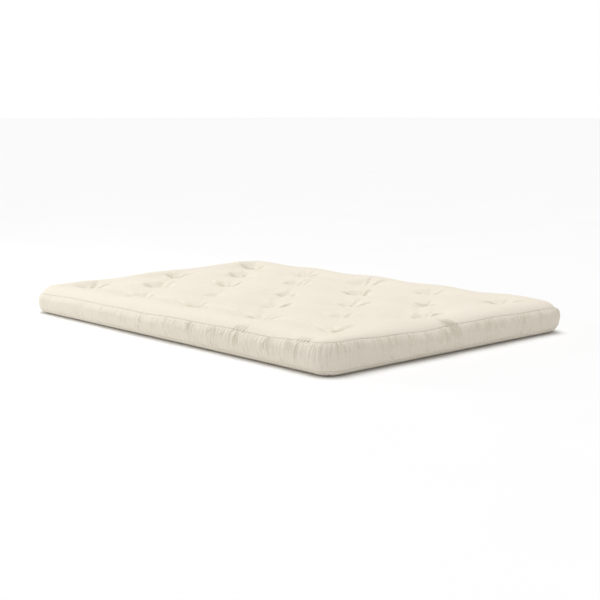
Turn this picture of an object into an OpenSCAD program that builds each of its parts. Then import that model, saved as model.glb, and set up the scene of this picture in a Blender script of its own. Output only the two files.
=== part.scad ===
// Futon mattress, 140 x 200 cm: a quilted cotton cover tied through seven filling layers.
// Frame: millimetres, origin at the centre of the underside, +X to the right,
// +Y towards the head end, +Z up. The front edge is at -Y.
// The mattress folds into a sofa along one line across its width, so every piece
// that crosses this line is made as a seat section and a back section.

/* [Mattress] */
// Width, left edge to right edge
mattress_w = 1400; // [1200:10:1600]
// Length, front edge to head edge
mattress_l = 2000; // [1900:10:2100]
// Thickness at the crowns between the tufts
mattress_h = 140; // [136:1:160]
// Radius of the four corners, seen from above
corner_r = 76; // [74:1:90]
// Radius of the rolled edge round the top
top_edge_r = 70; // [56:1:72]
// Radius of the rolled edge round the underside
bottom_edge_r = 36; // [28:1:44]

/* [Fold] */
// Distance from the front edge to the fold line
fold_from_front = 1170; // [1130:5:1190]
// Gap between the two sections of a piece, so that they never rub
section_gap = 0.3; // [0.2:0.1:1]

/* [Cover] */
// Thickness of the cotton cover
cover_t = 1.2; // [0.8:0.1:2]
// Height of the seam between the top panel and the border
seam_top_z = 112; // [104:1:116]
// Height of the seam between the border and the bottom panel
seam_bottom_z = 22; // [20:1:30]
// Width of a line of stitching
stitch_w = 1.2; // [0.8:0.1:1.6]
// Depth that a stitch is sunk below the face of the cloth
stitch_sink = 0.3; // [0.2:0.1:0.3]
// Thickness of the sewing thread
stitch_t = 0.6; // [0.3:0.1:0.8]

/* [Tufting] */
// Rows of tufts, from the front edge to the head edge
tuft_rows = 9; // [9]
// Distance from one row to the next
tuft_row_pitch = 205; // [200:1:210]
// Distance between a tuft and the next one across, measured over two rows
tuft_col_pitch = 250; // [235:1:260]
// Depth of a tuft dimple in the top
top_dimple_depth = 32; // [26:1:34]
// Radius of the mouth of a tuft dimple in the top
top_dimple_r = 55; // [45:1:60]
// Depth of a tuft dimple in the underside
bottom_dimple_depth = 18; // [16:1:20]
// Radius of the mouth of a tuft dimple in the underside
bottom_dimple_r = 40; // [35:1:45]
// Radius of a yarn tuft
knot_r = 6; // [5:0.5:8]
// Height of a yarn tuft
knot_h = 5; // [4:0.5:6]
// Diameter of the cord that ties a top tuft to the bottom one
tie_cord_d = 3; // [2:0.5:4]
// Clearance round a tie cord
tie_cord_clear = 0.2; // [0.2:0.1:0.5]

/* [Filling] */
// Clearance between the filling and the cover
filling_clear = 0.3; // [0.2:0.1:1]
// Thickness of one foam core
foam_t = 28; // [24:1:30]
// Thickness of the cotton layer between the foam cores
middle_cotton_t = 13; // [10:1:16]

/* [Hidden] */
$fn = 64;

COTTON_COVER = "#e9e3d2";
COTTON_FILLING = "#f2ead8";
FOAM = "#efe3b4";
THREAD = "#f1ecdf";
TWINE = "#d9cfb6";

far = 3000;
half_w = mattress_w / 2;
half_l = mattress_l / 2;
fold_y = fold_from_front - half_l;
inner_bottom_z = cover_t + filling_clear;
inner_top_z = mattress_h - inner_bottom_z;
outer_cotton_t = (inner_top_z - inner_bottom_z - 2 * foam_t - middle_cotton_t) / 4;

// Heights of the faces between the filling layers, from the underside up
layer_z = [
    inner_bottom_z,
    inner_bottom_z + outer_cotton_t,
    inner_bottom_z + 2 * outer_cotton_t,
    inner_bottom_z + 2 * outer_cotton_t + foam_t,
    inner_top_z - 2 * outer_cotton_t - foam_t,
    inner_top_z - 2 * outer_cotton_t,
    inner_top_z - outer_cotton_t,
    inner_top_z
];

// A ball whose cap has the depth and the mouth radius of a dimple
function ball_r(depth, mouth) = (depth * depth + mouth * mouth) / (2 * depth);
top_ball_r = ball_r(top_dimple_depth, top_dimple_r);
bottom_ball_r = ball_r(bottom_dimple_depth, bottom_dimple_r);

// The yarn tufts stand just clear of the bowl of the cover under them
knot_lift = 0.4;
top_knot_z = mattress_h - top_dimple_depth + knot_lift;
bottom_knot_z = bottom_dimple_depth - knot_lift;

// Tufts lie in a quincunx: rows of three and rows of two take turns
tufts = [
    for (row = [0 : tuft_rows - 1])
        let (columns = row % 2 == 0 ? [-2, 0, 2] : [-1, 1])
            for (column = columns)
                [column * tuft_col_pitch, (row - (tuft_rows - 1) / 2) * tuft_row_pitch]
];

function side(section) = section == "seat" ? -1 : 1;

// Tufts whose dimples reach into a section
function tufts_near(section) = [
    for (p = tufts) if (side(section) * (p.y - fold_y) > -top_dimple_r - 1) p
];

// Tufts whose cord runs inside a section
function tufts_in(section) = [for (p = tufts) if (side(section) * (p.y - fold_y) > 0) p];

// Rectangle that stands on the X axis, with one radius low down and another at the top
module rounded_profile(w, h, low_r, high_r) {
    polygon([
        [-w / 2 + low_r, 0], [w / 2 - low_r, 0],
        [w / 2, low_r], [w / 2, h - high_r],
        [w / 2 - high_r, h], [-w / 2 + high_r, h],
        [-w / 2, h - high_r], [-w / 2, low_r]
    ]);
    for (s = [-1, 1]) {
        translate([s * (w / 2 - low_r), low_r]) circle(r = low_r);
        translate([s * (w / 2 - high_r), h - high_r]) circle(r = high_r);
    }
}

// Body of the mattress without its dimples, shrunk on all sides by inset
module pillow(inset) {
    w = mattress_w - 2 * inset;
    l = mattress_l - 2 * inset;
    h = mattress_h - 2 * inset;
    low_r = bottom_edge_r - inset;
    high_r = top_edge_r - inset;
    translate([0, 0, inset])
        intersection() {
            translate([0, far / 2, 0])
                rotate([90, 0, 0])
                    linear_extrude(far)
                        rounded_profile(w, h, low_r, high_r);
            rotate([90, 0, 90])
                translate([0, 0, -far / 2])
                    linear_extrude(far)
                        rounded_profile(l, h, low_r, high_r);
            linear_extrude(h)
                translate([0, -l / 2])
                    rounded_profile(w, l, corner_r - inset, corner_r - inset);
        }
}

// Everything between two heights in the seat section or the back section
module zone(section, low, high) {
    start = section == "seat" ? -far : fold_y + section_gap / 2;
    end = section == "seat" ? fold_y - section_gap / 2 : far;
    translate([-far / 2, start, low])
        cube([far, end - start, high - low]);
}

// Everything on one side of the mattress, cut off along the corner diagonals.
// The cut leaves half a stitch width on each side of the diagonal.
module side_zone(turn, half_across, half_along) {
    reach = 2 * corner_r;
    trim = stitch_w / 2 * sqrt(2);
    rotate([0, 0, turn])
        linear_extrude(mattress_h)
            polygon([
                [-half_across - corner_r + trim, -half_along - corner_r],
                [half_across + corner_r - trim, -half_along - corner_r],
                [half_across - reach - trim, -half_along + reach],
                [-half_across + reach + trim, -half_along + reach]
            ]);
}

module top_dimples(section, inset) {
    for (p = tufts_near(section))
        translate([p.x, p.y, mattress_h + top_ball_r - top_dimple_depth])
            sphere(r = top_ball_r + inset);
}

module bottom_dimples(section, inset) {
    for (p = tufts_near(section))
        translate([p.x, p.y, bottom_dimple_depth - bottom_ball_r])
            sphere(r = bottom_ball_r + inset);
}

module cord_holes(section) {
    for (p = tufts_in(section))
        translate([p.x, p.y, -1])
            cylinder(d = tie_cord_d + 2 * tie_cord_clear, h = mattress_h + 2);
}

// Cover pieces

// The bowls of the dimples reach below the seam, so they are kept with the top panel
module top_bowls(section) {
    for (p = tufts_near(section))
        translate([p.x, p.y, seam_top_z - top_dimple_depth])
            cylinder(r = top_dimple_r, h = mattress_h);
}

module cover_top(section) {
    color(COTTON_COVER)
        difference() {
            intersection() {
                pillow(0);
                zone(section, 0, mattress_h);
                union() {
                    translate([-far / 2, -far / 2, seam_top_z + stitch_w / 2]) cube(far);
                    top_bowls(section);
                }
            }
            top_dimples(section, 0);
            difference() {
                pillow(cover_t);
                top_dimples(section, cover_t);
            }
            cord_holes(section);
        }
}

module cover_bottom(section) {
    color(COTTON_COVER)
        difference() {
            intersection() {
                pillow(0);
                zone(section, 0, seam_bottom_z - stitch_w / 2);
            }
            bottom_dimples(section, 0);
            difference() {
                pillow(cover_t);
                bottom_dimples(section, cover_t);
            }
            cord_holes(section);
        }
}

// Border strip between the two seams, before it is cut to one side
module border_band(inset, thickness) {
    difference() {
        intersection() {
            pillow(inset);
            translate([-far / 2, -far / 2, seam_bottom_z + stitch_w / 2])
                cube([far, far, seam_top_z - seam_bottom_z - stitch_w]);
        }
        pillow(inset + thickness);
    }
}

module border_end(turn) {
    color(COTTON_COVER)
        intersection() {
            border_band(0, cover_t);
            side_zone(turn, half_w, half_l);
        }
}

module border_side(turn, section) {
    color(COTTON_COVER)
        intersection() {
            border_band(0, cover_t);
            side_zone(turn, half_l, half_w);
            zone(section, 0, mattress_h);
        }
}

// Stitching

module seam_thread(section, seam_z) {
    color(THREAD)
        difference() {
            intersection() {
                pillow(stitch_sink);
                zone(section, seam_z - stitch_w / 2, seam_z + stitch_w / 2);
            }
            pillow(stitch_sink + stitch_t);
        }
}

module seam_thread_corners(section) {
    color(THREAD)
        intersection() {
            border_band(stitch_sink, stitch_t);
            zone(section, 0, mattress_h);
            for (s = [-1, 1])
                translate([s * half_w, side(section) * half_l, mattress_h / 2])
                    rotate([0, 0, s * side(section) * 45])
                        cube([4 * corner_r, stitch_w, mattress_h], center = true);
        }
}

// Filling

module filling_layer(section, index, tint) {
    color(tint)
        difference() {
            intersection() {
                pillow(inner_bottom_z);
                zone(section, layer_z[index], layer_z[index + 1]);
            }
            if (index > 4) top_dimples(section, inner_bottom_z);
            if (index < 2) bottom_dimples(section, inner_bottom_z);
            cord_holes(section);
        }
}

// Tufting

// A flattened ball of yarn with a waist where the cord draws it in
module knot() {
    rotate_extrude()
        polygon([
            [0, 0], [knot_r - 2, 0], [knot_r - 0.6, 0.6], [knot_r, knot_h * 0.35],
            [knot_r - 0.8, knot_h * 0.6], [knot_r - 1.6, knot_h * 0.9], [knot_r - 3, knot_h],
            [0, knot_h]
        ]);
}

module tufts_top(section) {
    color(THREAD)
        for (p = tufts_in(section))
            translate([p.x, p.y, top_knot_z]) knot();
}

module tufts_bottom(section) {
    color(THREAD)
        for (p = tufts_in(section))
            translate([p.x, p.y, bottom_knot_z]) mirror([0, 0, 1]) knot();
}

module tie_cords(section) {
    color(TWINE)
        for (p = tufts_in(section))
            translate([p.x, p.y, bottom_knot_z])
                cylinder(d = tie_cord_d, h = top_knot_z - bottom_knot_z);
}

cover_top("seat");  // cover_top_seat
cover_top("back");  // cover_top_back
cover_bottom("seat");  // cover_bottom_seat
cover_bottom("back");  // cover_bottom_back
border_end(0);  // border_front
border_end(180);  // border_head
border_side(270, "seat");  // border_left_seat
border_side(270, "back");  // border_left_back
border_side(90, "seat");  // border_right_seat
border_side(90, "back");  // border_right_back
seam_thread("seat", seam_top_z);  // seam_thread_top_seat
seam_thread("back", seam_top_z);  // seam_thread_top_back
seam_thread("seat", seam_bottom_z);  // seam_thread_bottom_seat
seam_thread("back", seam_bottom_z);  // seam_thread_bottom_back
seam_thread_corners("seat");  // seam_thread_corners_seat
seam_thread_corners("back");  // seam_thread_corners_back
filling_layer("seat", 0, COTTON_FILLING);  // cotton_layer_1_seat
filling_layer("back", 0, COTTON_FILLING);  // cotton_layer_1_back
filling_layer("seat", 1, COTTON_FILLING);  // cotton_layer_2_seat
filling_layer("back", 1, COTTON_FILLING);  // cotton_layer_2_back
filling_layer("seat", 2, FOAM);  // foam_core_lower_seat
filling_layer("back", 2, FOAM);  // foam_core_lower_back
filling_layer("seat", 3, COTTON_FILLING);  // cotton_layer_3_seat
filling_layer("back", 3, COTTON_FILLING);  // cotton_layer_3_back
filling_layer("seat", 4, FOAM);  // foam_core_upper_seat
filling_layer("back", 4, FOAM);  // foam_core_upper_back
filling_layer("seat", 5, COTTON_FILLING);  // cotton_layer_4_seat
filling_layer("back", 5, COTTON_FILLING);  // cotton_layer_4_back
filling_layer("seat", 6, COTTON_FILLING);  // cotton_layer_5_seat
filling_layer("back", 6, COTTON_FILLING);  // cotton_layer_5_back
tufts_top("seat");  // tufts_top_seat
tufts_top("back");  // tufts_top_back
tufts_bottom("seat");  // tufts_bottom_seat
tufts_bottom("back");  // tufts_bottom_back
tie_cords("seat");  // tie_cords_seat
tie_cords("back");  // tie_cords_back
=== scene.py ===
"""Futon mattress: the looks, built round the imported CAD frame. Metres, row frame.

Every cover piece starts from one rolled slab (the nominal shape), is given its soft shape
by cloth simulation or by folds, and is settled by one common field, so that the pieces
still meet at their seams.

Known fault: the filling comes through the cover at the tufts. See the note at TOP_DIP.
"""

import math

import bpy
import numpy as np
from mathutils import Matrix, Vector


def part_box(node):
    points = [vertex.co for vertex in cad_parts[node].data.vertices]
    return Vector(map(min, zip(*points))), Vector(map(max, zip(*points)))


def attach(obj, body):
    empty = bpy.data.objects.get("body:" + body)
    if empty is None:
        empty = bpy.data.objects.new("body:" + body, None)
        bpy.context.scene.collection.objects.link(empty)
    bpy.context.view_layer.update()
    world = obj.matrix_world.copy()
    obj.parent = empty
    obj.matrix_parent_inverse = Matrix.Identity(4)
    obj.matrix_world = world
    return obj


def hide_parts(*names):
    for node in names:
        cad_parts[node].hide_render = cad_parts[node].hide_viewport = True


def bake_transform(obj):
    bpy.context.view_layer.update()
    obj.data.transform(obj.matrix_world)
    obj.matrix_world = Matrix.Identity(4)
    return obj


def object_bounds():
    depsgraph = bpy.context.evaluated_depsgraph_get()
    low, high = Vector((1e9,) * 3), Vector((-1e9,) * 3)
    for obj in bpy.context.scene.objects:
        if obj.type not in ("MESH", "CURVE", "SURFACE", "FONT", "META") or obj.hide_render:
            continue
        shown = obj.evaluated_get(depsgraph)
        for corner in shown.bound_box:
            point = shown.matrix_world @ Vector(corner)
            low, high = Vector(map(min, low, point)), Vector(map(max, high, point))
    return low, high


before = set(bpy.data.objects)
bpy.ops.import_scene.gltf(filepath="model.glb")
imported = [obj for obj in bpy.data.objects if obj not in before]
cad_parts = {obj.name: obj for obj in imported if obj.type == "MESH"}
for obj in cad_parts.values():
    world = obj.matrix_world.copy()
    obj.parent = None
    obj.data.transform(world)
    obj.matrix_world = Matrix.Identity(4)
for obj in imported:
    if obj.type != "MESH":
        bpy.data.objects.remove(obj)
CAD_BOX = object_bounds()

# ------------------------ sizes from the frame

LOW, HIGH = CAD_BOX
HALF_W = (HIGH.x - LOW.x) / 2
HALF_L = (HIGH.y - LOW.y) / 2
THICK = HIGH.z - LOW.z

BORDER_LOW, BORDER_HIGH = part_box("border_front")
STITCH_W = 0.0012
SEAM_TOP_Z = BORDER_HIGH.z + STITCH_W / 2
SEAM_BOTTOM_Z = BORDER_LOW.z - STITCH_W / 2

CORNER_R = 0.076
TOP_ROLL = 0.070
BOTTOM_ROLL = 0.036
CLOTH_T = 0.0012
CORE_X = HALF_W - CORNER_R
CORE_Y = HALF_L - CORNER_R

KNOT_R = 0.006
TUFT_ROWS = 9
TUFTS_LOW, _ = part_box("tufts_top_seat")
_, TUFTS_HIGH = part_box("tufts_top_back")
ROW_PITCH = (TUFTS_HIGH.y - TUFTS_LOW.y - 2 * KNOT_R) / (TUFT_ROWS - 1)
COLUMN_PITCH = (TUFTS_HIGH.x - TUFTS_LOW.x - 2 * KNOT_R) / 4
TOP_TUFT_Z = TUFTS_LOW.z
BOTTOM_TUFT_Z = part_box("tufts_bottom_seat")[1].z


def tuft_places():
    """Plan position of each tuft: rows of three and rows of two take turns."""
    places = []
    for row in range(TUFT_ROWS):
        columns = (-2, 0, 2) if row % 2 == 0 else (-1, 1)
        y = (row - (TUFT_ROWS - 1) / 2) * ROW_PITCH
        places += [(column * COLUMN_PITCH, y) for column in columns]
    return np.array(places)


TUFTS = tuft_places()

# ------------------------ number helpers


def smooth(t):
    """Eases from 0 to 1 while t goes from 0 to 1."""
    t = np.clip(t, 0, 1)
    return t * t * (3 - 2 * t)


def bell(t, power=2):
    """Falls from 1 at t = 0 to nearly nothing by t = 2. A higher power has steeper sides."""
    return np.exp(-(t**power))


def waves(t, rng, longest, shortest, count):
    """Smooth random curve over t, with wavelengths in metres, about -1 to 1."""
    lengths = np.geomspace(longest, shortest, count)
    total = np.zeros_like(t)
    for length in lengths:
        total += rng.normal(0, 1) * np.sin(2 * math.pi * t / length + rng.uniform(0, 2 * math.pi))
    return total / math.sqrt(count)


def resample(values, place_u, place_v):
    """Grid of values read at new places, given in grid steps, by Catmull-Rom curves both ways."""
    along_u = spline_weights(values.shape[0], place_u)
    along_v = spline_weights(values.shape[1], place_v)
    return np.einsum("ai,ijk,bj->abk", along_u, values, along_v, optimize=True)


def spline_weights(have, place):
    """Matrix that reads a curve of `have` samples at each place."""
    first = np.clip(place.astype(int), 0, have - 2)
    t = place - first
    parts = (
        -0.5 * t**3 + t**2 - 0.5 * t,
        1.5 * t**3 - 2.5 * t**2 + 1,
        -1.5 * t**3 + 2 * t**2 + 0.5 * t,
        0.5 * t**3 - 0.5 * t**2,
    )
    weights = np.zeros((len(place), have))
    for step, part in zip((-1, 0, 1, 2), parts):
        np.add.at(weights, (np.arange(len(place)), np.clip(first + step, 0, have - 1)), part)
    return weights


def spread(values, reach, pick):
    """Lowest or highest value (pick is np.minimum or np.maximum) within reach grid steps."""
    result = values.copy()
    for axis in (0, 1):
        source = result.copy()
        for step in range(1, reach + 1):
            for sign in (-1, 1):
                moved = np.roll(source, sign * step, axis)
                edge = [slice(None)] * values.ndim
                edge[axis] = slice(0, step) if sign > 0 else slice(-step, None)
                moved[tuple(edge)] = source[tuple(edge)]
                result = pick(result, moved)
    return result


def grid_normals(points):
    """Unit normals of a grid of points, from its two directions."""
    across = np.gradient(points, axis=0)
    along = np.gradient(points, axis=1)
    normal = np.cross(across, along)
    return normal / np.maximum(np.linalg.norm(normal, axis=-1, keepdims=True), 1e-12)


# ------------------------ nominal shape


def past_core(p, q):
    """How far places are past the core rectangle each way and in all, the last never zero."""
    ex = np.maximum(np.abs(p) - CORE_X, 0)
    ey = np.maximum(np.abs(q) - CORE_Y, 0)
    return ex, ey, np.maximum(np.hypot(ex, ey), 1e-12)


def panel_point(p, q, roll_r, face_z, up):
    """Point and outward normal of a flat panel whose rim rolls over by roll_r.

    p and q are distances on the cloth from the middle. up is 1 for the top, -1 for the bottom.
    """
    ex, ey, length = past_core(p, q)
    reach = np.maximum(ex, ey)
    dx, dy = ex / length * np.sign(p), ey / length * np.sign(q)
    flat = CORNER_R - roll_r
    angle = np.maximum(reach - flat, 0) / roll_r
    out = np.where(reach < flat, reach, flat + roll_r * np.sin(angle))
    x = np.sign(p) * np.minimum(np.abs(p), CORE_X) + dx * out
    y = np.sign(q) * np.minimum(np.abs(q), CORE_Y) + dy * out
    z = face_z - up * roll_r * (1 - np.cos(angle))
    point = np.stack([x, y, z], -1)
    normal = np.stack([dx * np.sin(angle), dy * np.sin(angle), up * np.cos(angle)], -1)
    return point, normal


def panel_flat(p, q):
    """The panel as it was cut: the same points laid out flat, with round corners."""
    ex, ey, length = past_core(p, q)
    reach = np.maximum(ex, ey)
    x = np.sign(p) * (np.minimum(np.abs(p), CORE_X) + ex / length * reach)
    y = np.sign(q) * (np.minimum(np.abs(q), CORE_Y) + ey / length * reach)
    return np.stack([x, y, np.zeros_like(x)], -1)


def panel_reach(roll_r, drop):
    """Distance on the cloth from the core rectangle to the seam, drop below the face."""
    return CORNER_R - roll_r + roll_r * math.acos(1 - drop / roll_r)


def panel_grid(reach, cell):
    """Cloth coordinates of a panel's grid."""
    count_x = 2 * round((CORE_X + reach) / cell)
    count_y = 2 * round((CORE_Y + reach) / cell)
    p = np.linspace(-CORE_X - reach, CORE_X + reach, count_x + 1)
    q = np.linspace(-CORE_Y - reach, CORE_Y + reach, count_y + 1)
    return np.meshgrid(p, q, indexing="ij")


# How far the finer cells of a panel reach from a tuft and from a deep pucker.
TUFT_ZONE = 0.046
PUCKER_ZONE = 0.053


def dense_line(half, tufts, puckers, steps):
    """Places from -half to half, closest together near puckers, close near tufts and at the ends."""
    finest, fine, coarse = steps
    t = np.linspace(-half, half, 8001)
    near_tuft = np.zeros_like(t)
    for place in (*tufts, -half, half):
        near_tuft = np.maximum(near_tuft, bell((t - place) / TUFT_ZONE, 4))
    near_pucker = np.zeros_like(t)
    for place in puckers:
        near_pucker = np.maximum(near_pucker, bell((t - place) / PUCKER_ZONE, 4))
    density = np.maximum(near_tuft / fine + (1 - near_tuft) / coarse, near_pucker / finest)
    travel = np.concatenate([[0], np.cumsum((density[1:] + density[:-1]) / 2 * np.diff(t))])
    count = 2 * round(travel[-1] / 2)
    return np.interp(np.linspace(0, travel[-1], count + 1), travel, t)


def border_profile(s):
    """Inset from the outline, height, and normal (out, up) of the border, s below the top seam."""
    top_angle = math.asin((SEAM_TOP_Z - (THICK - TOP_ROLL)) / TOP_ROLL)
    top_arc = TOP_ROLL * top_angle
    straight = THICK - TOP_ROLL - BOTTOM_ROLL
    upper = np.clip(top_angle - s / TOP_ROLL, 0, None)
    lower = np.clip(s - top_arc - straight, 0, None) / BOTTOM_ROLL
    inset = TOP_ROLL * (1 - np.cos(upper)) + BOTTOM_ROLL * (1 - np.cos(lower))
    wall = np.clip(s - top_arc, 0, straight)
    z = THICK - TOP_ROLL + TOP_ROLL * np.sin(upper) - wall - BOTTOM_ROLL * np.sin(lower)
    return inset, z, np.cos(upper + lower), np.sin(upper) - np.sin(lower)


def border_height():
    """Length of cloth between the two seams of the border."""
    top_arc = TOP_ROLL * math.asin((SEAM_TOP_Z - (THICK - TOP_ROLL)) / TOP_ROLL)
    bottom_arc = BOTTOM_ROLL * math.asin((BOTTOM_ROLL - SEAM_BOTTOM_Z) / BOTTOM_ROLL)
    return top_arc + (THICK - TOP_ROLL - BOTTOM_ROLL) + bottom_arc


def border_point(u, s, half_along, distance, turn):
    """Point and outward normal of a border strip.

    u runs along the strip from its middle, half_along is half its straight part, distance is
    how far its face is from the middle of the mattress, and turn is 0 for the front strip.
    """
    beyond = np.clip(np.abs(u) - half_along, 0, None) / CORNER_R
    nx, ny = np.sign(u) * np.sin(beyond), -np.cos(beyond)
    x = np.sign(u) * np.minimum(np.abs(u), half_along) + nx * CORNER_R
    y = -(distance - CORNER_R) + ny * CORNER_R
    inset, z, out, up = border_profile(s)
    x, y = x - nx * inset, y - ny * inset
    cos, sin = math.cos(turn), math.sin(turn)
    point = np.stack([cos * x - sin * y, sin * x + cos * y, z], -1)
    normal = np.stack([(cos * nx - sin * ny) * out, (sin * nx + cos * ny) * out, up], -1)
    return point, normal


# ------------------------ common settling

# Shares of the height: as it lies, the slump at the back left, and the waves of the far edges.
LYING_HEIGHT = 0.990
SLUMP = 0.070
RIGHT_WAVES = 0.026
HEAD_WAVES = 0.022
# Metres: reach of the slump, rise of the top seam at the near left corner, its drop along the
# left side, and the sideways sway of the borders.
SLUMP_REACH = 0.70
CORNER_RISE = 0.013
LEFT_DROP = 0.009
SWAY = 0.0026


def settle(points):
    """The slab as it lies: slumped at the back left, its far edges wavy, seam high at the front left."""
    x, y, z = points[..., 0], points[..., 1], points[..., 2]
    from_slump = np.hypot(x + HALF_W, y - HALF_L)
    slump = SLUMP * bell(from_slump / SLUMP_REACH)
    swell = 0.012 * np.sin(3.1 * x + 1.0) * np.sin(2.6 * y - 0.6) + 0.008 * np.sin(7.3 * y + 2.0 * x)
    waves_right = RIGHT_WAVES * np.sin(15 * y + 0.8) * smooth((x - 0.35) / 0.25)
    waves_head = HEAD_WAVES * np.sin(13 * x + 2.0) * smooth((y - 0.65) / 0.25)
    height = LYING_HEIGHT - slump + swell + waves_right + waves_head
    level = np.clip(z / THICK, 0, 1)
    near_corner = bell(np.hypot(x + HALF_W, y + HALF_L) / 0.30, 1.5)
    seam_wander = 0.0025 * np.sin(9.1 * x - 6.7 * y) + 0.0015 * np.sin(23 * x + 17 * y)
    along_left = LEFT_DROP * smooth((-x - 0.52) / 0.12) * (1 - near_corner)
    at_seam = np.sin(math.pi * level**3)
    side = SWAY * np.sin(math.pi * level)
    moved = points.copy()
    moved[..., 0] += side * np.sin(5.3 * y + 0.7) * np.sign(x) * smooth((np.abs(x) - 0.5) / 0.2)
    moved[..., 1] += side * np.sin(6.1 * x + 1.9) * np.sign(y) * smooth((np.abs(y) - 0.8) / 0.2)
    moved[..., 2] = z * height + at_seam * (CORNER_RISE * near_corner - along_left + seam_wander)
    return moved


# ------------------------ meshes


def grid_faces(count_u, count_v, first=0, flip=False):
    """Quads of a grid of vertices, as rows of four indices."""
    index = first + np.arange(count_u * count_v).reshape(count_u, count_v)
    quads = np.stack([index[:-1, :-1], index[1:, :-1], index[1:, 1:], index[:-1, 1:]], -1).reshape(-1, 4)
    return quads[:, ::-1] if flip else quads


def rim(index):
    """Vertex numbers round the edge of a grid, in order, without repeating the first."""
    return np.concatenate([index[:-1, 0], index[-1, :-1], index[:0:-1, -1], index[0, :0:-1]])


def make_object(name, vertices, faces, material, smooth_shading=True):
    mesh = bpy.data.meshes.new(name)
    mesh.from_pydata(np.asarray(vertices).reshape(-1, 3).tolist(), [], [list(f) for f in faces])
    mesh.validate()
    if smooth_shading:
        mesh.shade_smooth()
    mesh.materials.append(material)
    obj = bpy.data.objects.new(name, mesh)
    bpy.context.scene.collection.objects.link(obj)
    return obj


def cloth_shell(name, outer, material):
    """Closed shell of cloth from a grid of outer points. The inside has half the resolution."""
    normals = grid_normals(outer)
    coarse, along = outer[::2, ::2], normals[::2, ::2]
    deepest = np.zeros(coarse.shape[:2])
    for du in (-2, -1, 0, 1, 2):
        for dv in (-2, -1, 0, 1, 2):
            near = np.roll(outer, (du, dv), (0, 1))[::2, ::2]
            rise = ((near - coarse) * along).sum(-1)
            close = np.linalg.norm(near - coarse, axis=-1) < 0.03
            deepest = np.where(close, np.minimum(deepest, rise), deepest)
    inner = coarse + along * (deepest - CLOTH_T)[..., None]
    count_u, count_v = outer.shape[:2]
    first = count_u * count_v
    faces = grid_faces(count_u, count_v).tolist()
    faces += grid_faces(*inner.shape[:2], first=first, flip=True).tolist()
    outer_rim = rim(np.arange(first).reshape(count_u, count_v))
    inner_rim = rim(first + np.arange(inner.shape[0] * inner.shape[1]).reshape(inner.shape[:2]))
    for k, here in enumerate(inner_rim):
        beyond = inner_rim[(k + 1) % len(inner_rim)]
        a, b, c = (outer_rim[(2 * k + step) % len(outer_rim)] for step in (0, 1, 2))
        faces += [(b, a, here), (b, here, beyond), (c, b, beyond)]
    vertices = np.concatenate([outer.reshape(-1, 3), inner.reshape(-1, 3)])
    return make_object(name, vertices, faces, material)


def tube_object(name, paths, radius, sides, material, reference=(0.0, 0.0, 1.0)):
    """One mesh of many closed tubes. paths is (tubes, points, 3); radius may vary along a tube."""
    paths = np.asarray(paths, float)
    count, points = paths.shape[:2]
    tangent = np.gradient(paths, axis=1)
    tangent /= np.maximum(np.linalg.norm(tangent, axis=-1, keepdims=True), 1e-12)
    side = np.cross(tangent, np.broadcast_to(reference, paths.shape))
    side /= np.maximum(np.linalg.norm(side, axis=-1, keepdims=True), 1e-9)
    up = np.cross(side, tangent)
    angle = 2 * math.pi * np.arange(sides) / sides
    ring = side[:, :, None] * np.cos(angle)[:, None] + up[:, :, None] * np.sin(angle)[:, None]
    radius = np.broadcast_to(radius, (count, points))[..., None, None]
    vertices = paths[:, :, None] + ring * radius
    index = np.arange(count * points * sides).reshape(count, points, sides)
    turned = np.roll(index, -1, 2)
    walls = np.stack([index[:, :-1], turned[:, :-1], turned[:, 1:], index[:, 1:]], -1).reshape(-1, 4)
    faces = walls.tolist() + index[:, 0, ::-1].tolist() + index[:, -1].tolist()
    return make_object(name, vertices, faces, material)


# ------------------------ cloth simulation


COTTON_CLOTH = dict(
    quality=5, mass=0.3, air_damping=2,
    tension_stiffness=15, compression_stiffness=15, shear_stiffness=5, bending_stiffness=0.1,
    tension_damping=5, compression_damping=5, shear_damping=5, bending_damping=0.5,
)
SIM_CELL = 0.010
SIM_FRAMES = 26


def simulate(start, flat, held, frames, pressure, filling_pull):
    """Lets a grid of cloth relax by Blender's cloth solver and gives back its points.

    flat is the cloth as it was cut, held marks the points that stay, and every other point is
    drawn back to its start by filling_pull, which stands for the filling under the cloth.
    """
    scene = bpy.context.scene
    obj = make_object("cloth_in_work", start, grid_faces(*start.shape[:2]).tolist(), None, False)
    obj.shape_key_add(name="Basis")
    cut = obj.shape_key_add(name="cut")
    cut.data.foreach_set("co", flat.reshape(-1))
    cut.value = 0
    group = obj.vertex_groups.new(name="held")
    index = np.arange(held.size).reshape(held.shape)
    group.add(index[held].tolist(), 1.0, "REPLACE")
    group.add(index[~held].tolist(), filling_pull, "REPLACE")

    modifier = obj.modifiers.new("cloth", "CLOTH")
    cloth = modifier.settings
    for key, value in COTTON_CLOTH.items():
        setattr(cloth, key, value)
    cloth.vertex_group_mass = "held"
    cloth.pin_stiffness = 1
    cloth.rest_shape_key = cut
    cloth.use_pressure = True
    cloth.uniform_pressure_force = pressure
    cloth.effector_weights.gravity = 0
    modifier.collision_settings.use_collision = False
    modifier.point_cache.frame_start = 1
    modifier.point_cache.frame_end = frames + 1

    for step in range(1, frames + 1):
        scene.frame_set(step)
    evaluated = obj.evaluated_get(bpy.context.evaluated_depsgraph_get())
    settled = np.zeros(start.size)
    evaluated.to_mesh().vertices.foreach_get("co", settled)
    evaluated.to_mesh_clear()
    mesh = obj.data
    bpy.data.objects.remove(obj)
    bpy.data.meshes.remove(mesh)
    scene.frame_set(1)
    return settled.reshape(start.shape)


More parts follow.
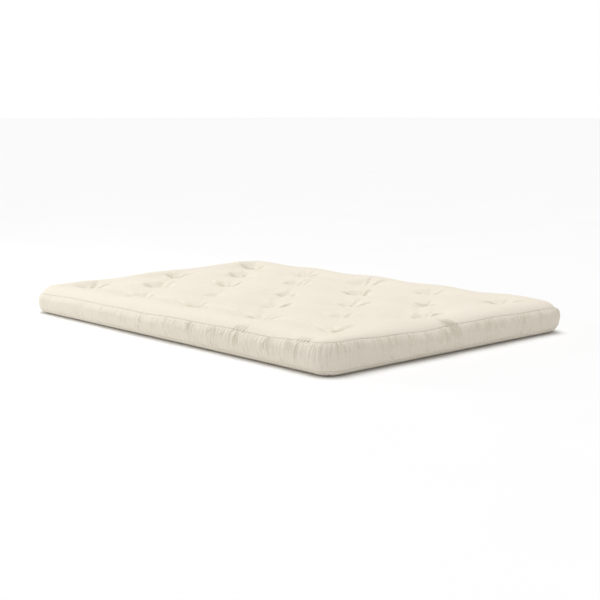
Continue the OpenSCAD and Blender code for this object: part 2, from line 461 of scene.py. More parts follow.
def relaxed_panel(reach, roll_r, face_z, up, depth, sink, slack, pressure, pull, bowl, seed):
    """How far each point of a tufted panel moves from its nominal place, on the grid of SIM_CELL."""
    p, q = panel_grid(reach, SIM_CELL)
    base, _ = panel_point(p, q, roll_r, face_z, up)
    flat = panel_flat(p, q)
    from_rim = np.minimum(CORE_X + reach - np.abs(p), CORE_Y + reach - np.abs(q))
    start = base.copy()
    start[..., 2] -= up * sink * smooth((from_rim - 0.03) / 0.10)
    rng = np.random.default_rng(seed)
    start[..., 2] += rng.normal(0, 0.0003, p.shape)
    held = from_rim < 1e-6
    for x, y in TUFTS:
        distance = np.hypot(base[..., 0] - x, base[..., 1] - y)
        start[..., 2] -= up * (depth - sink) * bell(distance / bowl)
    for x, y in TUFTS:
        distance = np.hypot(base[..., 0] - x, base[..., 1] - y)
        nearest = np.unravel_index(np.argmin(distance), distance.shape)
        start[nearest] = (x, y, face_z - up * depth)
        flat[nearest] = (x, y, 0)
        held[nearest] = True
    flat[..., :2] *= 1 + slack
    if up < 0:
        start, flat, held = start[:, ::-1], flat[:, ::-1], held[:, ::-1]
    frames = SIM_FRAMES
    settled = simulate(start, flat, held, frames, pressure, pull)
    if up < 0:
        settled = settled[:, ::-1]
    return settled - base


# ------------------------ folds and creases

SEAM_PINCH = 0.0002
DIMPLE_DEPTH = 0.0095
LIP_HEIGHT = 0.0048
TUFT_WINDOW = 0.24
SLIDE_ANGLE = math.radians(47)
MAIN_CREASES = (-34, 130)
LESSER_CREASES = (8, 84)


def seam_groove(distance):
    """The dip of the cloth where it is sewn in."""
    return -SEAM_PINCH * bell(distance / 0.0045, 1.3)


def tuft_creases(x, y, rng, depth):
    """The dimple of each tuft with its lip, and the creases that run out from it.

    The two sharpest bend away from the near left corner. Softer ones run towards the head
    end, the right side and one other way. The cloth has slid towards that corner, so the
    far side of each crease stands up in a low fold over it.
    """
    slid_from = np.array([math.cos(SLIDE_ANGLE), math.sin(SLIDE_ANGLE)])
    field = np.zeros_like(x)
    for tx, ty in TUFTS:
        near = (np.abs(x - tx) < TUFT_WINDOW) & (np.abs(y - ty) < TUFT_WINDOW)
        dx, dy = x[near] - tx, y[near] - ty
        distance = np.hypot(dx, dy)
        sharpness, size = rng.uniform(0.45, 1.35), rng.uniform(0.85, 1.35)
        beyond = 0.6 + 0.4 * (dx * slid_from[0] + dy * slid_from[1]) / np.maximum(distance, 0.01)
        local = LIP_HEIGHT * sharpness * beyond * bell((distance / size - 0.060) / 0.020)
        local -= DIMPLE_DEPTH * sharpness * bell(distance / size / 0.038, 3)
        main = np.radians(MAIN_CREASES) + rng.normal(0, 0.20, 2)
        lesser = np.radians([*LESSER_CREASES, rng.uniform(180, 270)]) + rng.normal(0, 0.25, 3)
        for k, angle in enumerate(np.concatenate([main, lesser])):
            is_main = k < len(main)
            length = rng.uniform(0.06, 0.15) if is_main else rng.uniform(0.08, 0.20)
            bow = (1, -1)[k] * rng.uniform(1, 5) if is_main else rng.uniform(-2.5, 2.5)
            strength = depth * (rng.uniform(0.5, 1.35) if is_main else rng.uniform(0.15, 0.65))
            width = rng.uniform(0.0038, 0.0048) * (1 + (3 if is_main else 9) * distance)
            turned = angle + bow * distance
            ahead = dx * np.cos(turned) + dy * np.sin(turned)
            aside = dy * np.cos(turned) - dx * np.sin(turned)
            run = smooth(distance / 0.014) * (1 - smooth((distance - 0.35 * length) / (0.65 * length)))
            run *= ahead > 0
            tucked = aside * np.sign(slid_from[1] * np.cos(angle) - slid_from[0] * np.sin(angle))
            valley = bell(np.abs(aside) / width, 1.25)
            fold = smooth(tucked / (1.5 * width)) * bell(np.abs(aside) / (5.5 * width), 1.6)
            shoulder = bell((np.abs(aside) - 2.3 * width) / (1.3 * width))
            local += strength * run * (0.80 * fold + 0.15 * shoulder - 0.75 * valley)
        field[near] += local
    return field


def pull_lines(x, y, rng, depth):
    """Soft valleys where the cloth is drawn between neighbouring tufts, deepest near the tufts."""
    field = np.zeros_like(x)
    for first, (tx, ty) in enumerate(TUFTS):
        for other_x, other_y in TUFTS[first + 1:]:
            span = math.hypot(other_x - tx, other_y - ty)
            if span > 1.05 * math.hypot(COLUMN_PITCH, ROW_PITCH):
                continue
            ux, uy = (other_x - tx) / span, (other_y - ty) / span
            along = ((x - tx) * ux + (y - ty) * uy) / span
            between = np.sin(math.pi * np.clip(along, 0, 1))
            bow = rng.uniform(-0.03, 0.03)
            aside = (y - ty) * ux - (x - tx) * uy - bow * between
            strength = depth * rng.uniform(0, 1) ** 2
            width = 0.008 + 0.012 * between
            run = smooth(between / 0.2) * (1 - 0.6 * between)
            lines = bell(aside / width) - 0.5 * bell((aside - 0.028) / 0.020)
            field -= strength * run * lines
    return field


# Deep folds that cross the top seam: place along the side, depth, how far they reach above
# and below the seam, and how far they lean on the panel and on the border.
FRONT_PUCKERS = (
    (-0.056, 0.0040, 0.045, 0.045, 0.60, 0.35),
    (-0.038, 0.0085, 0.062, 0.080, 0.75, 0.35),
    (-0.019, 0.0090, 0.068, 0.090, 0.70, 0.30),
    (0.001, 0.0070, 0.056, 0.070, 0.60, 0.25),
)
LEFT_PUCKER_GROUPS = (0.495, 0.860)
LEFT_PUCKERS = tuple(
    (place + step, 0.0034, 0.042, 0.014, -0.50, -0.4)
    for place in LEFT_PUCKER_GROUPS
    for step in (-0.028, -0.010, 0.008, 0.027)
)


def deep_puckers(along, below_seam, puckers):
    """Depth of the named folds at places along a side and distances below its top seam."""
    field = np.zeros_like(along)
    for place, depth, above, below, lean_above, lean_below in puckers:
        centre = place + np.where(below_seam < 0, lean_above, lean_below) * below_seam
        start = smooth((below_seam + above) / (0.7 * above))
        end = 1 - smooth((below_seam - 0.4 * below) / (0.6 * below))
        aside = np.abs(along - centre)
        ridge = bell((aside - 0.0100) / 0.0050)
        field += depth * start * end * (0.35 * ridge - bell(aside / 0.0046, 1.6))
    return field


def gathers(u, s, rng, places, depth, reach, spacing):
    """Upright folds that start at a seam: a valley at each place, with ridges between.

    s is the distance from the seam as a share of the border's height.
    """
    field = np.zeros_like(u)
    columns = u[:, 0]
    for place in places:
        window = np.abs(columns - place) < 0.06
        if not window.any():
            continue
        uu, ss = u[window], s[window]
        slant = rng.normal(0, 0.010)
        bow = rng.normal(0, 0.005)
        centre = place + slant * ss + bow * ss * ss
        strength = depth * np.clip(rng.lognormal(-0.25, 0.55), 0.15, 2.2)
        end = reach * rng.uniform(0.55, 1.45)
        width = spacing * rng.uniform(0.14, 0.26) * (0.75 + 0.6 * ss)
        start = smooth(ss / 0.03) * (0.45 + 0.55 * smooth(ss / 0.14))
        run = start * (1 - smooth((ss - 0.35 * end) / (0.65 * end)))
        aside = np.abs(uu - centre)
        valley = bell(aside / width, 1.35)
        ridge = bell((aside - 2.4 * width) / (1.35 * width))
        field[window] += strength * run * (0.55 * ridge - valley)
    return field


def fold_places(low, high, spacing, rng):
    """Uneven places along a strip, spacing apart on average."""
    steps = spacing * rng.uniform(0.45, 1.6, int((high - low) / spacing) + 2)
    places = low + np.cumsum(steps)
    return places[places < high]


# ------------------------ materials


class Nodes:
    """A short way to write a procedural material."""

    def __init__(self, name):
        self.material = bpy.data.materials.new(name)
        self.material.use_nodes = True
        self.tree = self.material.node_tree
        self.shader = self.tree.nodes["Principled BSDF"]
        self.place = self.add("ShaderNodeTexCoord").outputs["Object"]

    def add(self, kind, inputs=None, **settings):
        node = self.tree.nodes.new(kind)
        for key, value in settings.items():
            setattr(node, key, value)
        for key, value in (inputs or {}).items():
            if isinstance(value, bpy.types.NodeSocket):
                self.tree.links.new(value, node.inputs[key])
            else:
                node.inputs[key].default_value = value
        return node

    def scaled(self, scale):
        mapping = self.add("ShaderNodeMapping", {"Vector": self.place, "Scale": scale})
        return mapping.outputs["Vector"]

    def noise(self, scale, detail=2.0, roughness=0.5, stretch=(1, 1, 1)):
        inputs = {"Vector": self.scaled(stretch), "Scale": scale, "Detail": detail, "Roughness": roughness}
        return self.add("ShaderNodeTexNoise", inputs).outputs["Fac"]

    def math(self, operation, a, b=0.5, c=0.5):
        return self.add("ShaderNodeMath", {0: a, 1: b, 2: c}, operation=operation).outputs["Value"]

    def total(self, first, *others):
        for other in others:
            first = self.math("ADD", first, other)
        return first

    def limit(self, value, low, high, to_low=0.0, to_high=1.0):
        inputs = {"Value": value, "From Min": low, "From Max": high, "To Min": to_low, "To Max": to_high}
        return self.add("ShaderNodeMapRange", inputs).outputs["Result"]

    def mix(self, share, a, b):
        return self.add("ShaderNodeMix", {0: share, 6: a, 7: b}, data_type="RGBA").outputs[2]

    def bump(self, height, strength, distance, after=None):
        inputs = {"Height": height, "Strength": strength, "Distance": distance}
        if after is not None:
            inputs["Normal"] = after
        return self.add("ShaderNodeBump", inputs).outputs["Normal"]

    def finish(self, colour, roughness, normal, **fixed):
        self.tree.links.new(colour, self.shader.inputs["Base Color"])
        self.tree.links.new(roughness, self.shader.inputs["Roughness"])
        self.tree.links.new(normal, self.shader.inputs["Normal"])
        for key, value in fixed.items():
            self.shader.inputs[key.replace("_", " ")].default_value = value
        return self.material


def weave(nodes, thread):
    """Plain weave: threads over and under each other, seen from any side of the slab."""
    separate = nodes.add("ShaderNodeSeparateXYZ", {"Vector": nodes.scaled((2 * math.pi / thread,) * 3)})
    sines = [nodes.math("SINE", separate.outputs[axis]) for axis in "XYZ"]
    products = [nodes.math("MULTIPLY", sines[k], sines[(k + 1) % 3]) for k in range(3)]
    return nodes.total(*products)


def cotton_cover_material():
    """Unbleached cotton: ecru, with soft clouds of tone, slubs in the yarn and a few flecks."""
    nodes = Nodes("ecru_cotton")
    clouds = nodes.limit(nodes.noise(3.2, 3), 0.35, 0.68)
    colour = nodes.mix(clouds, (0.818, 0.750, 0.628, 1), (0.846, 0.782, 0.664, 1))
    stretches = ((45, 620, 620), (620, 45, 620), (620, 620, 60))
    slubs = nodes.total(*(nodes.noise(1.0, 2, stretch=stretch) for stretch in stretches))
    slub_tone = nodes.limit(slubs, 1.25, 1.85)
    colour = nodes.mix(slub_tone, colour, (0.872, 0.814, 0.702, 1))
    fleck_noise = nodes.noise(240.0, 1, 0.4)
    flecks = nodes.limit(fleck_noise, 0.735, 0.775)
    colour = nodes.mix(nodes.math("MULTIPLY", flecks, 0.5), colour, (0.48, 0.38, 0.24, 1))
    threads = weave(nodes, 0.0026)
    crumple = nodes.noise(26.0, 4, 0.55)
    first = nodes.bump(crumple, 0.25, 0.004)
    second = nodes.bump(slubs, 0.35, 0.0004, first)
    normal = nodes.bump(threads, 0.30, 0.0002, second)
    roughness = nodes.limit(slubs, 1.2, 1.9, 0.97, 0.86)
    return nodes.finish(colour, roughness, normal, Sheen_Weight=0.10, Sheen_Roughness=0.5)


def thread_material(name, dark, light, twist):
    """Spun thread or yarn: fine diagonal twist and a little fuzz in the tone."""
    nodes = Nodes(name)
    fuzz = nodes.noise(900.0, 3)
    stripes = nodes.add(
        "ShaderNodeTexWave",
        {"Vector": nodes.place, "Scale": twist, "Distortion": 1.5, "Detail": 2.0},
        bands_direction="DIAGONAL",
    ).outputs["Fac"]
    tone = nodes.math("MULTIPLY", nodes.math("ADD", fuzz, stripes), 0.5)
    colour = nodes.mix(tone, dark, light)
    normal = nodes.bump(tone, 0.5, 0.0003)
    roughness = nodes.limit(fuzz, 0.3, 0.7, 0.80, 0.95)
    return nodes.finish(colour, roughness, normal, Sheen_Weight=0.3, Sheen_Roughness=0.5)


def batting_material():
    """Pressed cotton batting: matted fibres, neps and small pits."""
    nodes = Nodes("cotton_batting")
    fibres = nodes.noise(140.0, 6, 0.7, stretch=(1, 1, 2.5))
    tufts = nodes.noise(22.0, 3)
    neps = nodes.limit(nodes.noise(330.0, 1), 0.70, 0.76)
    colour = nodes.mix(tufts, (0.80, 0.74, 0.62, 1), (0.90, 0.86, 0.76, 1))
    colour = nodes.mix(nodes.math("MULTIPLY", neps, 0.6), colour, (0.60, 0.50, 0.34, 1))
    first = nodes.bump(tufts, 0.5, 0.006)
    normal = nodes.bump(fibres, 0.7, 0.0015, first)
    roughness = nodes.limit(fibres, 0.3, 0.7, 0.92, 1.0)
    return nodes.finish(colour, roughness, normal, Sheen_Weight=0.4, Sheen_Roughness=0.6)


def foam_material():
    """Open cell foam: fine cells, a few large ones, slightly yellowed in patches."""
    nodes = Nodes("open_cell_foam")
    cells = nodes.add("ShaderNodeTexVoronoi", {"Vector": nodes.place, "Scale": 700.0}).outputs["Distance"]
    patches = nodes.noise(6.0, 3)
    colour = nodes.mix(patches, (0.84, 0.74, 0.46, 1), (0.90, 0.83, 0.60, 1))
    shade = nodes.limit(cells, 0.0, 0.6, 0.0, 0.35)
    colour = nodes.mix(shade, colour, (0.62, 0.50, 0.26, 1))
    normal = nodes.bump(cells, 0.6, 0.0008)
    roughness = nodes.limit(patches, 0.3, 0.7, 0.80, 0.92)
    return nodes.finish(colour, roughness, normal)


def floor_material():
    """Plain pale floor with a trace of unevenness in its gloss."""
    nodes = Nodes("pale_floor")
    patches = nodes.noise(1.5, 2)
    colour = nodes.mix(patches, (0.93, 0.93, 0.93, 1), (0.95, 0.95, 0.95, 1))
    normal = nodes.bump(patches, 0.02, 0.001)
    roughness = nodes.limit(patches, 0.0, 1.0, 0.75, 0.85)
    return nodes.finish(colour, roughness, normal)


COTTON = cotton_cover_material()
SEWING_THREAD = thread_material("sewing_thread", (0.86, 0.81, 0.71, 1), (0.95, 0.92, 0.84, 1), 700.0)
YARN = thread_material("tuft_yarn", (0.70, 0.65, 0.55, 1), (0.92, 0.90, 0.83, 1), 420.0)
TWINE = thread_material("waxed_twine", (0.48, 0.38, 0.24, 1), (0.72, 0.63, 0.46, 1), 380.0)
BATTING = batting_material()
FOAM = foam_material()

# ------------------------ cover panels

TOP_REACH = panel_reach(TOP_ROLL, THICK - SEAM_TOP_Z)
BOTTOM_REACH = panel_reach(BOTTOM_ROLL, SEAM_BOTTOM_Z)

# Cell sizes near puckers, near tufts and elsewhere, and depth of the creases.
TOP_STEPS = (0.0028, 0.0040, 0.0110)
TOP_CREASE = 0.0100
BOTTOM_STEPS = (0.007, 0.007, 0.012)
BOTTOM_CREASE = 0.0030
# How far the leaning puckers move along the side where the panel's fine cells are.
FRONT_DRIFT = 0.02
LEFT_DRIFT = 0.01

TOP_MOVED = relaxed_panel(
    TOP_REACH, TOP_ROLL, THICK, 1,
    depth=THICK - TOP_TUFT_Z, sink=0.011, slack=0.03, pressure=2.5, pull=0.09, bowl=0.062, seed=3,
)
BOTTOM_MOVED = relaxed_panel(
    BOTTOM_REACH, BOTTOM_ROLL, 0, -1,
    depth=BOTTOM_TUFT_Z, sink=0.0, slack=0.02, pressure=1.0, pull=0.05, bowl=0.060, seed=4,
)


def rim_puckers(p, q, reach, cell, rng, depth):
    """Small puckers of a panel along the seam round it."""
    field = np.zeros_like(p)
    rows = int(0.04 / cell)
    from_x = (CORE_X + reach - np.abs(p)) / border_height()
    from_y = (CORE_Y + reach - np.abs(q)) / border_height()
    for part in (slice(0, rows), slice(-rows, None)):
        places = fold_places(-HALF_L, HALF_L, 0.013, rng)
        field[part] += gathers(q[part].T, from_x[part].T, rng, places, depth, 0.25, 0.011).T
        places = fold_places(-HALF_W, HALF_W, 0.013, rng)
        field[:, part] += gathers(p[:, part], from_y[:, part], rng, places, depth, 0.25, 0.011)
    return field


def panel_surface(reach, roll_r, face_z, up, moved, steps, seed, crease):
    """Final grid of a tufted panel before it is settled."""
    rng = np.random.default_rng(seed)
    has_puckers = up > 0
    at_front = [np.mean([pucker[0] for pucker in FRONT_PUCKERS]) - FRONT_DRIFT] if has_puckers else []
    at_left = [-place - LEFT_DRIFT for place in LEFT_PUCKER_GROUPS] if has_puckers else []
    across = dense_line(CORE_X + reach, np.unique(TUFTS[:, 0]), at_front, steps)
    along = dense_line(CORE_Y + reach, np.unique(TUFTS[:, 1]), at_left, steps)
    p, q = np.meshgrid(across, along, indexing="ij")
    base, normal = panel_point(p, q, roll_r, face_z, up)
    from_rim = np.minimum(CORE_X + reach - np.abs(p), CORE_Y + reach - np.abs(q))
    freedom = 0.25 + 0.75 * smooth(from_rim / 0.09)
    place_x = (across / (CORE_X + reach) + 1) / 2 * (moved.shape[0] - 1)
    place_y = (along / (CORE_Y + reach) + 1) / 2 * (moved.shape[1] - 1)
    points = base + resample(moved, place_x, place_y) * freedom[..., None]
    field = tuft_creases(points[..., 0], points[..., 1], rng, crease)
    field += rim_puckers(p, q, reach, steps[1], rng, 0.0011)
    field += pull_lines(points[..., 0], points[..., 1], rng, 0.7 * crease)
    field += seam_groove(from_rim)
    if has_puckers:
        field += np.where(q < 0, deep_puckers(p, -(q + CORE_Y + reach), FRONT_PUCKERS), 0)
        field += np.where(p < 0, deep_puckers(-q, -(p + CORE_X + reach), LEFT_PUCKERS), 0)
    return points + normal * field[..., None]


TOP_SURFACE = settle(
    panel_surface(TOP_REACH, TOP_ROLL, THICK, 1, TOP_MOVED, TOP_STEPS, seed=11, crease=TOP_CREASE)
)
top_panel = cloth_shell("top_panel", TOP_SURFACE, COTTON)

BOTTOM_SURFACE = panel_surface(
    BOTTOM_REACH, BOTTOM_ROLL, 0, -1, BOTTOM_MOVED, BOTTOM_STEPS, seed=12, crease=BOTTOM_CREASE
)
BOTTOM_SURFACE[..., 2] = np.maximum(BOTTOM_SURFACE[..., 2], 0)
BOTTOM_SURFACE = settle(BOTTOM_SURFACE)
bottom_panel = cloth_shell("bottom_panel", BOTTOM_SURFACE[:, ::-1], COTTON)

# ------------------------ border

BORDER_CELL = 0.0024
ARC_HALF = CORNER_R * math.pi / 4
HEIGHT = border_height()


def even(count):
    """Nearest even number, so that a grid can be halved for the inside of the cloth."""
    return 2 * round(count / 2)


def border_folds(u, share, rng, gathered):
    """Gathers from the top seam, weaker ones from the bottom seam, and slack folds between.

    gathered gives, along the strip, how strongly the cloth is gathered, from 0 to 1.
    """
    low, high = u.min(), u.max()
    strength = gathered(u) * (1 + 0.45 * waves(u, rng, 0.45, 0.09, 4))
    strength = np.clip(strength, 0.15, 1.7)
    long_folds = gathers(u, share, rng, fold_places(low, high, 0.016, rng), 0.0031, 0.80, 0.016)
    short_folds = gathers(u, share, rng, fold_places(low, high, 0.0095, rng), 0.0023, 0.42, 0.0105)
    from_below = gathers(u, 1 - share, rng, fold_places(low, high, 0.023, rng), 0.0020, 0.42, 0.021)
    return strength * (long_folds + short_folds) + (0.4 + 0.5 * strength) * from_below


def border_surface(half_along, distance, turn, seed, gathered, puckers):
    """Final grid of one border strip before it is settled."""
    rng = np.random.default_rng(seed)
    half = half_along + ARC_HALF
    count_u = even(2 * half / BORDER_CELL) + 1
    count_s = even(HEIGHT / BORDER_CELL) + 1
    u, s = np.meshgrid(np.linspace(-half, half, count_u), np.linspace(0, HEIGHT, count_s), indexing="ij")
    base, normal = border_point(u, s, half_along, distance, turn)
    share = s / HEIGHT
    from_end = half - np.abs(u)
    away = 1 - bell(from_end / 0.012)
    fullness = 0.0050 + 0.0018 * away * waves(u, rng, 0.60, 0.12, 5)
    field = fullness * np.sin(math.pi * share) ** 1.2 + away * border_folds(u, share, rng, gathered)
    field += seam_groove(s)
    field += deep_puckers(u, s, puckers)
    field += seam_groove(HEIGHT - s)
    return base + normal * field[..., None]


def gathered_evenly(level):
    return lambda u: np.full_like(u, level)


def gathered_towards_front(u):
    """The left strip is gathered along its front half, and only a little towards the head."""
    return 0.30 + 0.50 * smooth((u + 0.25) / 0.45)


# Half the straight part, distance of the face from the middle, turn, seed, how strongly the
# strip is gathered, and its deep puckers.
STRIPS = {
    "front": (CORE_X, HALF_L, 0, 21, gathered_evenly(1.20), FRONT_PUCKERS),
    "right": (CORE_Y, HALF_W, math.pi / 2, 22, gathered_evenly(0.75), ()),
    "head": (CORE_X, HALF_L, math.pi, 23, gathered_evenly(0.75), ()),
    "left": (CORE_Y, HALF_W, -math.pi / 2, 24, gathered_towards_front, LEFT_PUCKERS),
}
BORDER_SURFACES = {side: settle(border_surface(*values)) for side, values in STRIPS.items()}
borders = {
    side: cloth_shell(side + "_border", points[::-1], COTTON) for side, points in BORDER_SURFACES.items()
}

# ------------------------ stitches

STITCH_PITCH = 0.0042
STITCH_LENGTH = 0.0031
STITCH_R = 0.00036
STITCH_TAPER = STITCH_R * np.array([0.5, 1, 1, 1, 0.5])


def stitches_along(line, outward):
    """Paths of small stitches along a line of points, standing just proud of it."""
    steps = np.linalg.norm(np.diff(line, axis=0), axis=1)
    travel = np.concatenate([[0], np.cumsum(steps)])
    starts = np.arange(0.5 * STITCH_PITCH, travel[-1] - STITCH_PITCH, STITCH_PITCH)
    shares = np.linspace(0, 1, 5)
    places = starts[:, None] + STITCH_LENGTH * shares
    path = np.stack([np.interp(places, travel, line[:, axis]) for axis in range(3)], -1)
    away = np.stack([np.interp(places, travel, outward[:, axis]) for axis in range(3)], -1)
    return path + away * (STITCH_R * (1.6 * np.sin(math.pi * shares) - 0.3))[:, None]


def stitch_object(name, lines, reference):
    """Stitches along lines of the border grids. lines holds the points of a strip and a line in it."""
    paths = []
    for points, line in lines:
        outward = -grid_normals(points)
        paths.append(stitches_along(points[line], outward[line]))
    return tube_object(name, np.concatenate(paths), STITCH_TAPER, 6, SEWING_THREAD, reference)


def seam_stitches(name, row):
    """Stitches round the whole mattress, along one edge of every border strip."""
    lines = [(points, (slice(None), row)) for points in BORDER_SURFACES.values()]
    return stitch_object(name, lines, (0.31, 0.17, 0.94))


def corner_stitches(name, side):
    """Stitches up the corners at both ends of a strip."""
    lines = [(BORDER_SURFACES[side], end) for end in (0, -1)]
    return stitch_object(name, lines, (0.93, 0.31, 0.17))


top_stitches = seam_stitches("top_seam_stitches", 0)
bottom_stitches = seam_stitches("bottom_seam_stitches", -1)
front_corner_stitches = corner_stitches("front_corner_stitches", "front")
head_corner_stitches = corner_stitches("head_corner_stitches", "head")

# ------------------------ tufts and ties

YARN_R = 0.0011
LOOP_HALF = 0.0052
STRAND_R = 0.00075
TWISTS = 9


def surface_at(points, x, y):
    """The grid point nearest to a place on the plan."""
    distance = np.hypot(points[..., 0] - x, points[..., 1] - y)
    return points[np.unravel_index(np.argmin(distance), distance.shape)]


def yarn_knot(rng, up):
    """Paths of one yarn tuft round the origin: three loops over its middle and four loose ends."""
    share = np.linspace(0, 1, 9)
    turn = rng.uniform(0, math.pi)
    paths = []
    for k in range(3):
        angle = turn + math.pi * k / 3 + rng.uniform(-0.2, 0.2)
        across = LOOP_HALF * (2 * share - 1)
        lift = (0.0036 - 0.0006 * k) * np.sin(math.pi * share) - 0.0004
        paths.append(np.stack([across * math.cos(angle), across * math.sin(angle), up * lift], -1))
    for k in range(4):
        angle = turn + math.pi * (k + 0.5) / 2 + rng.uniform(-0.35, 0.35)
        out = rng.uniform(0.008, 0.012) * share
        bend = angle + rng.uniform(-0.7, 0.7) * share
        lift = 0.0030 + 0.0022 * np.sin(math.pi * share) - 0.0016 * share
        paths.append(np.stack([out * np.cos(bend), out * np.sin(bend), up * lift], -1))
    return np.array(paths)


def yarn_tufts(name, surface, up, seed):
    rng = np.random.default_rng(seed)
    paths = [yarn_knot(rng, up) + surface_at(surface, x, y) for x, y in TUFTS]
    radius = YARN_R * np.array([0.7, 1, 1, 1, 1, 1, 1, 1, 0.8])
    return tube_object(name, np.concatenate(paths), radius, 8, YARN, (0.27, 0.11, 0.95))


def tie_cords(name):
    """Two strands of twine twisted together, from each bottom tuft to its top tuft."""
    share = np.linspace(0, 1, 49)
    paths = []
    for x, y in TUFTS:
        top, bottom = surface_at(TOP_SURFACE, x, y), surface_at(BOTTOM_SURFACE, x, y)
        for phase in (0, math.pi):
            angle = phase + 2 * math.pi * TWISTS * share
            line = bottom + (top - bottom) * share[:, None]
            line[:, 0] += STRAND_R * np.cos(angle)
            line[:, 1] += STRAND_R * np.sin(angle)
            paths.append(line)
    return tube_object(name, np.array(paths), STRAND_R, 6, TWINE, (1.0, 0.0, 0.0))


top_tufts = yarn_tufts("top_yarn_tufts", TOP_SURFACE, 1, 31)
bottom_tufts = yarn_tufts("bottom_yarn_tufts", BOTTOM_SURFACE, -1, 32)
ties = tie_cords("twine_ties")

# ------------------------ filling

FILL_MARGIN = 0.0045
FILL_CELL = 0.016
LAYER_GAP = 0.002  # share of the height left free at the top and bottom of each layer
RIM_BULGE = 1.0012


def sample(values, reach, x, y):
    """Value of a panel's coarse grid at places on the plan."""
    u = (x + CORE_X + reach) / (2 * (CORE_X + reach)) * (values.shape[0] - 1)
    v = (y + CORE_Y + reach) / (2 * (CORE_Y + reach)) * (values.shape[1] - 1)
    u, v = np.clip(u, 0, values.shape[0] - 1.001), np.clip(v, 0, values.shape[1] - 1.001)
    i, j = u.astype(int), v.astype(int)
    u, v = u - i, v - j
    low = values[i, j] * (1 - u) + values[i + 1, j] * u
    high = values[i, j + 1] * (1 - u) + values[i + 1, j + 1] * u
    return low * (1 - v) + high * v


# How far the filling is pressed in by each panel. This follows the simulated shape only. The
# dimples, creases and pull lines are added to the panels later and are deeper than FILL_MARGIN
# in places. That is the likely reason why the filling comes through the cover at the tufts, on
# both faces.
TOP_DIP = spread(TOP_MOVED[..., 2], 2, np.minimum)
BOTTOM_RISE = spread(np.maximum(BOTTOM_MOVED[..., 2], 0), 2, np.maximum)


def filling_face(share, grid_p, grid_q):
    """One level face of the filling, at a share of its height, pressed in round the tufts."""
    z = share * THICK
    upper = max(z - (THICK - TOP_ROLL), 0)
    lower = max(BOTTOM_ROLL - z, 0)
    inset = TOP_ROLL - math.sqrt(TOP_ROLL**2 - upper**2) + BOTTOM_ROLL - math.sqrt(BOTTOM_ROLL**2 - lower**2)
    edge = CORNER_R - inset - FILL_MARGIN
    ex, ey, length = past_core(grid_p, grid_q)
    out = np.maximum(ex, ey) / CORNER_R * edge
    x = np.sign(grid_p) * (np.minimum(np.abs(grid_p), CORE_X) + ex / length * out)
    y = np.sign(grid_q) * (np.minimum(np.abs(grid_q), CORE_Y) + ey / length * out)
    height = FILL_MARGIN + share * (THICK - 2 * FILL_MARGIN)
    height = height + share * sample(TOP_DIP, TOP_REACH, x, y)
    height = height + (1 - share) * sample(BOTTOM_RISE, BOTTOM_REACH, x, y)
    return np.stack([x, y, height], -1)


def filling_layer(name, low_share, high_share, material):
    """Closed slab between two levels, with a softly rounded rim."""
    grid_p, grid_q = panel_grid(CORNER_R, FILL_CELL)
    count = grid_p.size
    edge = rim(np.arange(count).reshape(grid_p.shape))
    top = filling_face(high_share - LAYER_GAP, grid_p, grid_q)
    bottom = filling_face(low_share + LAYER_GAP, grid_p, grid_q)
    middle = filling_face((low_share + high_share) / 2, grid_p, grid_q).reshape(-1, 3)[edge]
    middle[:, :2] *= RIM_BULGE
    faces = grid_faces(*grid_p.shape).tolist()
    faces += grid_faces(*grid_p.shape, first=count, flip=True).tolist()
    for k, here in enumerate(edge):
        beyond = edge[(k + 1) % len(edge)]
        middle_here, middle_beyond = 2 * count + k, 2 * count + (k + 1) % len(edge)
        faces += [(beyond, here, middle_here, middle_beyond)]
        faces += [(middle_beyond, middle_here, count + here, count + beyond)]
    vertices = np.concatenate([top.reshape(-1, 3), bottom.reshape(-1, 3), middle])
    return make_object(name, settle(vertices), faces, material)


def layer_share(node):
    """Bottom and top of a CAD layer as shares of the filling's height."""
    low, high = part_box(node)
    filling_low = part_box("cotton_layer_1_seat")[0].z
    filling_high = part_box("cotton_layer_5_seat")[1].z
    return [(z - filling_low) / (filling_high - filling_low) for z in (low.z, high.z)]


LAYERS = {
    "batting_1": ("cotton_layer_1", BATTING),
    "batting_2": ("cotton_layer_2", BATTING),
    "lower_foam": ("foam_core_lower", FOAM),
    "batting_3": ("cotton_layer_3", BATTING),
    "upper_foam": ("foam_core_upper", FOAM),
    "batting_4": ("cotton_layer_4", BATTING),
    "batting_5": ("cotton_layer_5", BATTING),
}
layers = {
    name: filling_layer(name, *layer_share(node + "_seat"), material)
    for name, (node, material) in LAYERS.items()
}

# ------------------------ bodies


def bend_with_fold(piece, node):
    """A piece that runs the whole length: it stands for both sections, whose CAD parts it hides, and its
    placement is baked into its mesh.
    """
    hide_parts(node + "_seat", node + "_back")
    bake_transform(piece)


def ride_with(piece, body, node):
    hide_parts(node)
    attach(piece, body)


bend_with_fold(top_panel, "cover_top")
bend_with_fold(bottom_panel, "cover_bottom")
bend_with_fold(borders["left"], "border_left")
bend_with_fold(borders["right"], "border_right")
ride_with(borders["front"], "seat", "border_front")
ride_with(borders["head"], "back", "border_head")
bend_with_fold(top_stitches, "seam_thread_top")
bend_with_fold(bottom_stitches, "seam_thread_bottom")
ride_with(front_corner_stitches, "seat", "seam_thread_corners_seat")
ride_with(head_corner_stitches, "back", "seam_thread_corners_back")
bend_with_fold(top_tufts, "tufts_top")
bend_with_fold(bottom_tufts, "tufts_bottom")
bend_with_fold(ties, "tie_cords")
for name, (node, material) in LAYERS.items():
    bend_with_fold(layers[name], node)

# ------------------------ camera, floor and light


CAMERA_PLACE = (-3.564, -3.972, 0.922)
CAMERA_LOOKS_DOWN = 8.80
CAMERA_HEADING = 47.42
LENS = 72.3


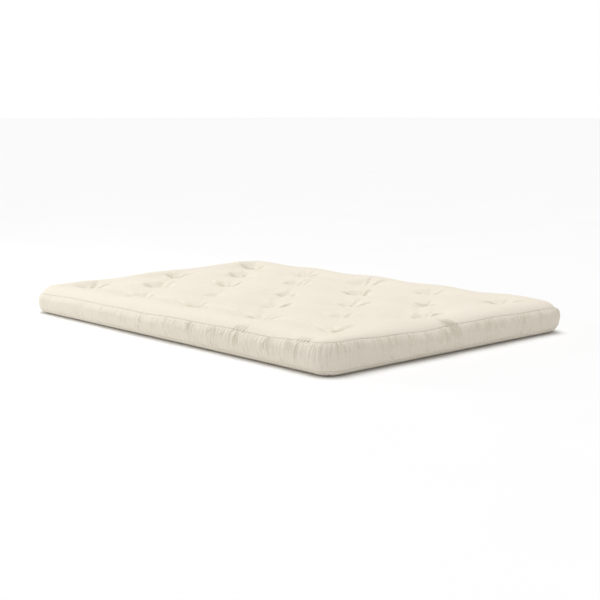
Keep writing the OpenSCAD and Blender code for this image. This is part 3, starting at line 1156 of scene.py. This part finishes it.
def make_camera():
    """The photograph's view: low, from in front of the left corner, with a long lens."""
    data = bpy.data.cameras.new("camera")
    data.lens = LENS
    data.sensor_width = 36
    camera = bpy.data.objects.new("camera", data)
    camera.location = CAMERA_PLACE
    camera.rotation_euler = (math.radians(90 - CAMERA_LOOKS_DOWN), 0, math.radians(CAMERA_HEADING - 90))
    bpy.context.scene.collection.objects.link(camera)
    bpy.context.scene.camera = camera


def make_floor():
    bpy.ops.mesh.primitive_plane_add(size=400, location=(0, 0, -0.0005))
    floor = bpy.context.object
    floor.name = "floor"
    floor.data.materials.append(floor_material())


def add_light(name, kind, aim, place=(0, 0, 0), **settings):
    data = bpy.data.lights.new(name, kind)
    for key, value in settings.items():
        setattr(data, key, value)
    light = bpy.data.objects.new(name, data)
    light.location = place
    light.rotation_euler = aim.to_euler()
    bpy.context.scene.collection.objects.link(light)


def soft_sun(name, direction, patch_deg, strength):
    """Even light over the whole floor, from a broad patch of sky in one direction."""
    aim = Vector(direction).to_track_quat("Z", "Y")
    add_light(name, "SUN", aim, energy=strength, angle=math.radians(patch_deg))


def soft_lamp(name, place, target, size, power):
    """Square light that reaches the near end of the left side less than the far end."""
    aim = (Vector(target) - Vector(place)).to_track_quat("-Z", "Y")
    add_light(name, "AREA", aim, place, shape="SQUARE", size=size, energy=power)


def make_world(seen, strength):
    """White surroundings as the camera sees them, and a weaker even light from all round."""
    world = bpy.data.worlds.new("studio")
    world.use_nodes = True
    nodes, links = world.node_tree.nodes, world.node_tree.links
    lighting = nodes["Background"]
    lighting.inputs["Color"].default_value = (1, 1, 1, 1)
    lighting.inputs["Strength"].default_value = strength
    surroundings = nodes.new("ShaderNodeBackground")
    surroundings.inputs["Color"].default_value = (1, 1, 1, 1)
    surroundings.inputs["Strength"].default_value = seen
    path, mix = nodes.new("ShaderNodeLightPath"), nodes.new("ShaderNodeMixShader")
    links.new(path.outputs["Is Camera Ray"], mix.inputs["Fac"])
    links.new(lighting.outputs["Background"], mix.inputs[1])
    links.new(surroundings.outputs["Background"], mix.inputs[2])
    links.new(mix.outputs["Shader"], nodes["World Output"].inputs["Surface"])
    bpy.context.scene.world = world


make_camera()
make_floor()
make_world(seen=1.0, strength=0.40)
soft_sun("overhead", (0.02, 0.18, 1), 45, 2.08)
soft_lamp("window", (-2.8, 3.1, 1.15), (-0.7, 0.2, 0.1), 1.6, 30)
bpy.context.scene.view_settings.view_transform = "Standard"
